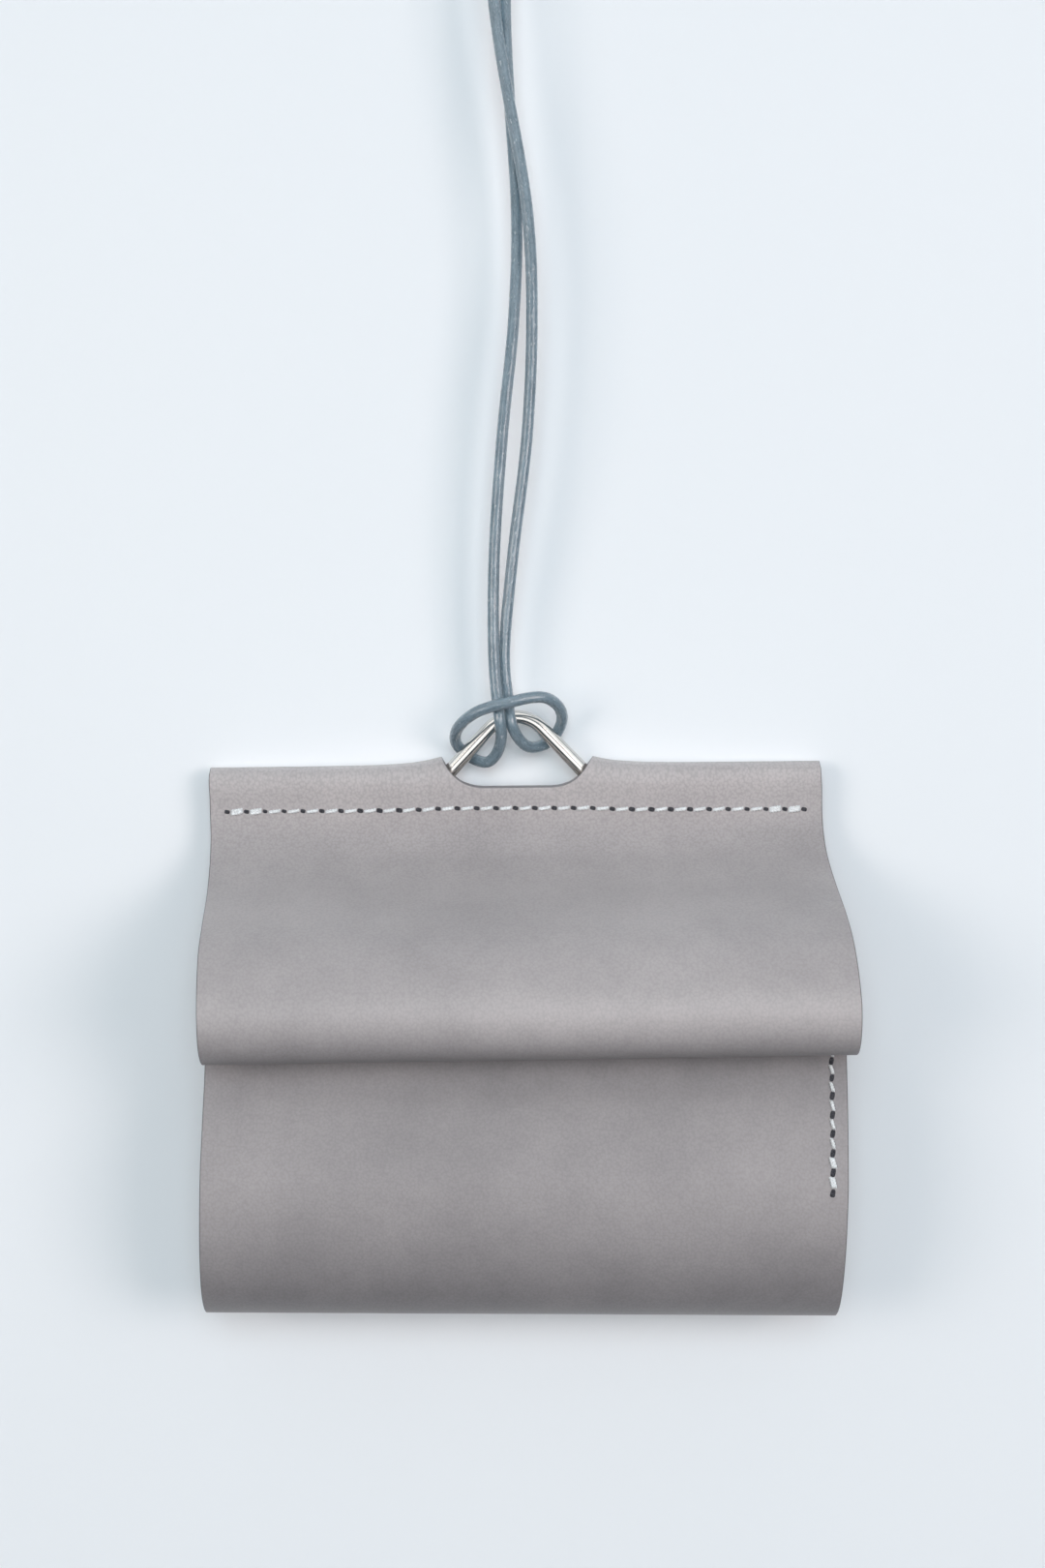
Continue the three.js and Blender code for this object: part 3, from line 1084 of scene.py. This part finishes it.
@dataclass
class TriangleRing:
    """A closed triangle of round wire whose bar lies in the top fold."""

    wire: float = 0.0023
    middle: float = -0.00097
    half_base: float = 0.0142
    base_height: float = -0.0019
    apex_height: float = 0.01287
    base_depth: float = 0.00315
    forward_lean: float = 0.11
    apex_radius: float = 0.0056
    corner_radius: float = 0.0024
    bend_samples: int = 25
    step: float = 0.0004
    sides: int = 28

    def line(self) -> Array:
        """The wire's middle line: straight sides joined by an arc in each corner.

        Returns:
            The line's points in the frame, closed and evenly spaced.
        """
        corners = np.array([
            [self.middle - self.half_base, self.base_height],
            [self.middle + self.half_base, self.base_height],
            [self.middle, self.apex_height],
        ])
        radius = np.array([self.corner_radius, self.corner_radius, self.apex_radius])[:, None]
        before = unit(np.roll(corners, 1, axis=0) - corners)
        after = unit(np.roll(corners, -1, axis=0) - corners)
        half = np.arccos(np.sum(before * after, axis=1, keepdims=True)) / 2
        centre = corners + unit(before + after) * radius / np.sin(half)
        start = corners + before * radius / np.tan(half) - centre
        angle = np.linspace(0, 1, self.bend_samples)[None, :] * (np.pi - 2 * half)
        cos, sin = np.cos(angle)[..., None], np.sin(angle)[..., None]
        turned = np.stack([-start[:, 1], start[:, 0]], axis=-1)
        bends = centre[:, None] + cos * start[:, None] + sin * turned[:, None]
        flat = bends.reshape(-1, 2)
        flat = evenly(np.concatenate([flat, flat[:1]]), self.step, places=2)[:-1]
        depth = self.base_depth + self.forward_lean * (flat[:, 1] - self.base_height)
        return HANG.place(flat[:, 0], depth, flat[:, 1])

    def dress(self) -> Piece:
        """Makes the ring's object in place of its solid: a circle carried round the middle line.

        Returns:
            The ring.
        """
        surface = tube(self.line(), self.wire, self.sides, closed=True)
        made = surface.to_object("wire_ring", [NickelWire().material()])
        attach(made, ROOT)
        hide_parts("triangle_ring")
        return made


# The cord


@dataclass
class WristCord:
    """A round leather cord: one loop, hitched round the ring's legs."""

    diameter: float = 0.0018
    sides: int = 18
    step: float = 0.0006
    samples: int = 60
    finer: int = 3
    fairing: float = 2
    route: tuple[tuple[float, float, float], ...] = (
        (-0.0086, 0.0014, 0.0047),
        (-0.0101, 0.0026, 0.0061),
        (-0.0104, 0.0046, 0.0076),
        (-0.0095, 0.0069, 0.0093),
        (-0.007, 0.0088, 0.0111),
        (-0.004, 0.0096, 0.0121),
        (-0.0016, 0.0096, 0.0126),
        (0.001, 0.0089, 0.0132),
        (0.0036, 0.0078, 0.0133),
        (0.0055, 0.0063, 0.0122),
        (0.0063, 0.0045, 0.0105),
        (0.0058, 0.0026, 0.0085),
        (0.0046, 0.0017, 0.0069),
        (0.0029, 0.0024, 0.0059),
        (0.0009, 0.0039, 0.0058),
        (-0.00075, 0.0056, 0.0074),
        (-0.00175, 0.00685, 0.0098),
        (-0.0021, 0.006, 0.0129),
        (-0.0026, 0.00595, 0.0195),
        (-0.0012, 0.0074, 0.0344),
        (0.0013, 0.0089, 0.0535),
        (0.00225, 0.0095, 0.0712),
        (0.0018, 0.00985, 0.087),
        (-0.0031, 0.0097, 0.1203),
        (-0.0064, 0.0086, 0.1805),
        (-0.0051, 0.0085, 0.186),
        (-0.0024, 0.0085, 0.188),
        (0.0003, 0.0085, 0.186),
        (0.0016, 0.0084, 0.1805),
        (-0.0013, 0.0076, 0.1203),
        (0.0001, 0.00765, 0.087),
        (-0.00055, 0.0083, 0.0715),
        (-0.0025, 0.0086, 0.0536),
        (-0.004, 0.0079, 0.0344),
        (-0.0042, 0.0072, 0.0195),
        (-0.00375, 0.0074, 0.0129),
        (-0.0034, 0.008, 0.0099),
        (-0.0032, 0.0064, 0.0072),
        (-0.0039, 0.0045, 0.0049),
        (-0.0053, 0.0031, 0.0035),
        (-0.0069, 0.0019, 0.0037),
        (-0.0084, 0.0014, 0.00445),
    )

    def line(self) -> Array:
        """Draws the cord's middle line through its route.

        Returns:
            The line's points in the frame, smooth and evenly spaced.
        """
        x, depth, height = np.array(self.route).T
        drawn = curve_through(HANG.place(x, depth, height), self.samples, places=3)
        return faired(evenly(drawn, self.step / self.finer, places=3), self.fairing)[::self.finer]

    def dress(self) -> Piece:
        """Makes the cord's object in place of its solid: a circle carried along the middle line, with caps.

        Returns:
            The cord.
        """
        line = self.line()
        surface = tube(line, self.diameter, self.sides, closed=False)
        made = surface.to_object("round_cord", [CordLeather().material()])
        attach(made, ROOT)
        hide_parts("wrist_cord")
        return made


# The seams


def joined_rings(grid: Array) -> Surface:
    """Closes many like pieces at once, each a row of rings with a cap on its first ring and on its last.

    Args:
        grid: the points, as (pieces, rings of a piece, points of a ring, 3).

    Returns:
        The pieces' surface.
    """
    count, rings, sides = grid.shape[:3]
    start = (np.arange(count) * rings * sides)[:, None, None]
    quads = (grid_quads(rings, sides, False, True)[None] + start).reshape(-1, 4)
    ring = start[:, 0] + np.arange(sides)
    faces = quads.tolist() + ring[:, ::-1].tolist() + (ring + (rings - 1) * sides).tolist()
    return Surface(grid.reshape(-1, 3), faces)


@dataclass
class Seam:
    """A row of saddle stitches: thread from hole to hole on one side of the leather.

    The stitches whose numbers are in doubled are sewn twice, side by side.
    """

    name: str
    strip: LeatherStrip
    along: Array
    across: Array
    layer: Layer
    doubled: tuple[int, ...] = ()
    thread: float = 0.00053
    slant: float = 0.00014
    clear: float = 0.00049
    rise: float = 0.36
    dive: float = 0.75
    dive_power: int = 6
    taper: float = 0.3
    beside: float = 0.36
    plies: int = 3
    lobe: float = 0.2
    turns: float = 1.5
    steps: int = 25
    sides: int = 14
    hole_long: float = 0.00058
    hole_wide: float = 0.00042
    hole_tilt: float = 0.2
    hole_rings: tuple[float, ...] = (0.02, 0.5, 0.85, 1.0)
    hole_sides: int = 16
    squareness: float = 0.65
    dome: float = 0.00006
    sink: float = 0.00003

    def holes(self) -> tuple[Array, Array]:
        """The holes' places on the leather's face, and the face's normals there."""
        normal = self.strip.normal(self.along, self.across) * self.layer.value
        return self.strip.surface(self.along, self.across) + self.strip.thickness / 2 * normal, normal

    def stitches(self) -> Surface:
        """Makes all the stitches at once.

        A stitch runs from the near edge of one hole to the near edge of the next. Its middle rises over the
        face and dives into both holes with a high power of the distance from its middle, and it slants a
        little. Its section is a circle with a lobe for each ply, and the lobes turn along the stitch.

        Returns:
            The stitches' surface.
        """
        places, normal = self.holes()
        first = np.arange(len(places) - 1)
        shift = np.zeros(len(first))
        twice = np.array([k % len(first) for k in self.doubled], dtype=int)
        shift[twice] = self.beside * self.thread
        first, shift = np.concatenate([first, twice]), np.concatenate([shift, -shift[twice]])
        up = unit(normal[first] + normal[first + 1])[:, None, None]
        ahead = unit(places[first + 1] - places[first])[:, None, None]
        side = np.cross(up, ahead)
        start = places[first][:, None, None] + self.clear * ahead
        stop = places[first + 1][:, None, None] - self.clear * ahead
        u = np.linspace(0, 1, self.steps)[None, :, None, None]
        v = np.linspace(0, 2 * np.pi, self.sides, endpoint=False)[None, None, :, None]
        end = np.abs(2 * u - 1) ** self.dive_power
        lobes = 1 + self.lobe * np.cos(self.plies * (v - 2 * np.pi * self.turns * u))
        radius = self.thread / 2 * (1 - self.taper * end) * lobes
        middle = (
            start + (stop - start) * u
            + up * self.thread * (self.rise * (1 - end) - self.dive * end)
            + side * (self.slant * (2 * u - 1) + shift[:, None, None, None])
        )
        return joined_rings(middle + radius * (np.cos(v) * side + np.sin(v) * up))

    def pricks(self) -> Surface:
        """Makes the holes' painted shade: dark low domes that cap each hole, a hair above the leather.

        A point lies at a share of the two half axes from the hole's middle. The dome falls with the square
        of that share, and its rim sinks into the leather with the fourth power.

        Returns:
            The ovals' surface.
        """
        places, normal = self.holes()
        row = unit(np.gradient(places, axis=0))[:, None, None]
        up = normal[:, None, None]
        ahead = math.cos(self.hole_tilt) * row - math.sin(self.hole_tilt) * np.cross(up, row)
        side = np.cross(ahead, up)
        share = np.array(self.hole_rings)[None, :, None, None]
        angle = np.linspace(0, 2 * np.pi, self.hole_sides, endpoint=False)[None, None, :, None]
        rise = self.dome * (1 - share**2) - self.sink * share**4
        long = self.hole_long * flattened(np.cos(angle), self.squareness)
        wide = self.hole_wide * flattened(np.sin(angle), self.squareness)
        return joined_rings(places[:, None, None] + up * rise + share * (long * ahead + wide * side))

    def dress(self) -> list[Piece]:
        """Makes the seam's thread and the painted shade of its holes.

        Returns:
            The two objects.
        """
        made = [
            self.stitches().to_object(f"{self.name}_thread", [WaxedThread().material()]),
            self.pricks().to_object(f"{self.name}_holes", [PaintedHoleShade().material()]),
        ]
        for piece in made:
            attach(piece, ROOT)
        return made


@dataclass
class Seams:
    """The wallet's two seams: across the top fold, and down the pocket's right-hand edge."""

    strip: LeatherStrip
    pitch: float = 0.003
    top_count: int = 31
    top_middle: float = -0.00008
    top_height: float = -0.00412
    top_fall: float = -0.0071
    top_arch: float = 0.00025
    top_lift: float = 0.2
    side_inset: float = 0.00235
    side_top: float = -0.03145
    side_bottom: float = -0.0599
    side_count: int = 12
    side_slant: float = 0.00022
    side_thread: float = 0.00048
    side_clear: float = 0.00054
    side_hole: float = 0.0007
    pocket_reach: float = 0.04
    tongue_reach: float = 0.034

    def top_seam(self, layer_start: float, layer_end: float) -> tuple[Array, Array]:
        """Holes of the top seam on one layer of the fold.

        Args:
            layer_start: where the layer begins along the strip.
            layer_end: where it ends.

        Returns:
            Distances along and across the strip; the seam arches up a little and falls to the right.
        """
        across = self.pitch * (np.arange(self.top_count) - (self.top_count - 1) / 2) + self.top_middle
        reach = self.pitch * (self.top_count - 1) / 2
        height = self.top_height + self.top_fall * across + self.top_arch * (1 - (across / reach) ** 2)
        level = height + self.top_lift * self.strip.leg_lift
        return self.strip.along_at_height(level, layer_start, layer_end), across

    def side_seam(self, layer_start: float, layer_end: float) -> tuple[Array, Array]:
        """Holes of the side seam on the pocket's front or on the tongue behind it.

        Args:
            layer_start: where the layer begins along the strip.
            layer_end: where it ends.

        Returns:
            Distances along and across the strip.
        """
        height = np.linspace(self.side_top, self.side_bottom, self.side_count)
        along = self.strip.along_at_height(height, layer_start, layer_end)
        return along, np.full(self.side_count, self.strip.width / 2 - self.side_inset)

    def dress(self) -> list[Piece]:
        """Makes both seams on both of their sides.

        Returns:
            The seams' objects.
        """
        fold, end = self.strip.run[self.strip.top_of_fold()], self.strip.run[-1]
        reach = self.strip.layer_reach
        both, lower = (0, 1, -1, -2), (-1, -2)
        sides = {
            "thread": self.side_thread,
            "slant": self.side_slant,
            "clear": self.side_clear,
            "hole_long": self.side_hole,
        }
        table = (
            ("top_seam_front", self.top_seam(fold, fold + reach), Layer.GRAIN, both, {}),
            ("top_seam_back", self.top_seam(fold - reach, fold), Layer.GRAIN, both, {}),
            ("side_seam_front", self.side_seam(0, self.pocket_reach), Layer.GRAIN, lower, sides),
            ("side_seam_inside", self.side_seam(end - self.tongue_reach, end), Layer.FLESH, lower, sides),
        )
        seams = [
            Seam(name, self.strip, *holes, layer, doubled, **sizes)
            for name, holes, layer, doubled, sizes in table
        ]
        return [piece for seam in seams for piece in seam.dress()]


# The view


@dataclass(frozen=True)
class PhotoCamera:
    """The camera, straight in front of the wallet and turned a little about its own axis."""

    x: float = 0.0
    depth: float = 0.3435
    height: float = 0.0
    lens: float = 50.0
    long_side: float = 36.0
    nearest: float = 0.01
    roll: float = math.radians(-0.65)

    def place(self) -> Piece:
        """Adds the camera and makes it the scene's own.

        Returns:
            The camera.
        """
        data = bpy.data.cameras.new("photo_camera")
        data.lens = self.lens
        data.sensor_fit = "AUTO"
        data.sensor_width = self.long_side
        data.clip_start = self.nearest
        camera = bpy.data.objects.new("photo_camera", data)
        where = HANG.place(self.x, self.depth, self.height)
        turn = Matrix.Rotation(math.pi / 2, 4, "X") @ Matrix.Rotation(self.roll, 4, "Z")
        camera.matrix_world = Matrix.Translation(Vector(where)) @ turn
        bpy.context.scene.collection.objects.link(camera)
        bpy.context.scene.camera = camera
        return camera


class Glow(Enum):
    """What a lamp is for: all surfaces, their matt light alone, or their reflections alone."""

    ALL = "all"
    MATT = "matt"
    SHINE = "shine"


@dataclass(frozen=True)
class SoftBox:
    """A lamp with a soft oblong face."""

    name: str
    x: float
    depth: float
    height: float
    wide: float
    tall: float
    power: float
    colour: Colour
    glow: Glow = Glow.ALL

    def place(self, aim: Array) -> Piece:
        """Adds the lamp, facing a point.

        Args:
            aim: the point that it faces, in the frame.

        Returns:
            The lamp.
        """
        data = bpy.data.lights.new(self.name, "AREA")
        data.shape = "RECTANGLE"
        data.size, data.size_y = self.wide, self.tall
        data.energy, data.color = self.power, self.colour
        lamp = bpy.data.objects.new(self.name, data)
        lamp.visible_diffuse = self.glow is not Glow.SHINE
        lamp.visible_glossy = self.glow is not Glow.MATT
        where = Vector(HANG.place(self.x, self.depth, self.height))
        turn = (Vector(aim) - where).to_track_quat("-Z", "Y").to_matrix().to_4x4()
        lamp.matrix_world = Matrix.Translation(where) @ turn
        bpy.context.scene.collection.objects.link(lamp)
        return lamp


@dataclass
class Studio:
    """A pale wall behind the wallet, soft lamps and reflection cards round it, and the light of a room."""

    wall_depth: float = -0.0006
    wall_size: float = 1.6
    wall_light: Colour = (0.875, 0.888, 0.9)
    wall_dark: Colour = (0.855, 0.872, 0.886)
    cloud: Noise = Noise(5.0, 2.0)
    cloud_span: Span = Span(0.3, 0.7)
    sky_above: Colour = (0.4, 0.46, 0.5)
    sky_below: Colour = (0.065, 0.085, 0.1)
    horizon: Span = Span(0.42, 0.72)
    lamps: tuple[SoftBox, ...] = (
        SoftBox("lamp_front", 0.0, 0.9, 0.17, 0.4, 0.6, 3.2, (0.84, 1.0, 1.1), Glow.MATT),
        SoftBox("lamp_left", -0.6, 0.67, 0.05, wide=0.4, tall=0.4, power=1.95, colour=(1.12, 1.0, 0.93)),
        SoftBox("lamp_right", 0.56, 0.7, 0.05, wide=0.4, tall=0.4, power=2.5, colour=(1.13, 1.0, 0.97)),
        SoftBox("card_front", 0.0, 0.95, -0.22, 1.7, 0.5, 4.1, (1.0, 1.0, 1.0), Glow.SHINE),
        SoftBox("card_above", 0.0, 0.6, 0.7, 2.2, 0.9, 5.4, (1.0, 0.98, 0.95), Glow.SHINE),
        SoftBox("lamp_behind", -0.15, -0.7, 0.2, wide=0.6, tall=0.6, power=3.0, colour=(1.0, 1.0, 1.0)),
    )

    def wall_material(self) -> Material:
        """Makes a pale wall that shows from its front only, so that the wallet's back can be looked at.

        Returns:
            The material.
        """
        sheet = NodeSheet("pale_wall")
        cloud = sheet.noise(sheet.place(), self.cloud)
        tint = sheet.ramp(cloud, self.cloud_span, self.wall_dark, self.wall_light)
        paint = sheet.add("BsdfDiffuse", {"Color": tint})
        clear = sheet.add("BsdfTransparent")
        behind = sheet.add("NewGeometry").outputs["Backfacing"]
        seen = sheet.add("MixShader", {0: behind, 1: paint.outputs[0], 2: clear.outputs[0]})
        sheet.add("OutputMaterial", {"Surface": seen.outputs[0]})
        return sheet.material

    def place(self) -> None:
        """Adds the wall, the lamps and the room's light."""
        half = self.wall_size / 2
        x, height = np.array([half, half, -half, -half]), np.array([-half, half, half, -half])
        corners = HANG.place(x, self.wall_depth, height)
        wall = Surface(corners, [[0, 1, 2, 3]]).to_object("wall", [self.wall_material()])
        wall.visible_shadow = False
        aim = HANG.place(0.0, 0.0, 0.0)
        for lamp in self.lamps:
            lamp.place(aim)
        bpy.context.scene.world = self.sky()
        bpy.context.scene.view_settings.view_transform = "Standard"

    def sky(self) -> bpy.types.World:
        """Makes the light all round: pale from above, dark from below, with a soft change at the horizon.

        Returns:
            The world that holds it.
        """
        world = bpy.data.worlds.new("room_light")
        world.use_nodes = True
        nodes, links = world.node_tree.nodes, world.node_tree.links
        direction = nodes.new("ShaderNodeTexCoord")
        parts = nodes.new("ShaderNodeSeparateXYZ")
        ramp = nodes.new("ShaderNodeValToRGB")
        links.new(direction.outputs["Generated"], parts.inputs[0])
        rise = nodes.new("ShaderNodeMapRange")
        rise.inputs["From Min"].default_value = -1.0
        links.new(parts.outputs["Z"], rise.inputs["Value"])
        links.new(rise.outputs["Result"], ramp.inputs["Fac"])
        colours = (self.sky_below, self.sky_above)
        for element, place, colour in zip(ramp.color_ramp.elements, self.horizon, colours):
            element.position, element.color = place, (*colour, 1)
        links.new(ramp.outputs["Color"], nodes["Background"].inputs["Color"])
        return world


def main() -> None:
    """Builds the view and the wallet's pieces in order, and reports each piece."""
    logging.basicConfig(level=logging.INFO, format="%(name)s: %(message)s")
    PhotoCamera().place()
    Studio().place()
    strip = LeatherStrip()
    pieces = [WristCord().dress(), strip.dress(), TriangleRing().dress(), *Seams(strip).dress()]
    for piece in pieces:
        LOG.info("%s: %d faces", piece.name, len(piece.data.polygons))


if __name__ == "__main__":
    main()
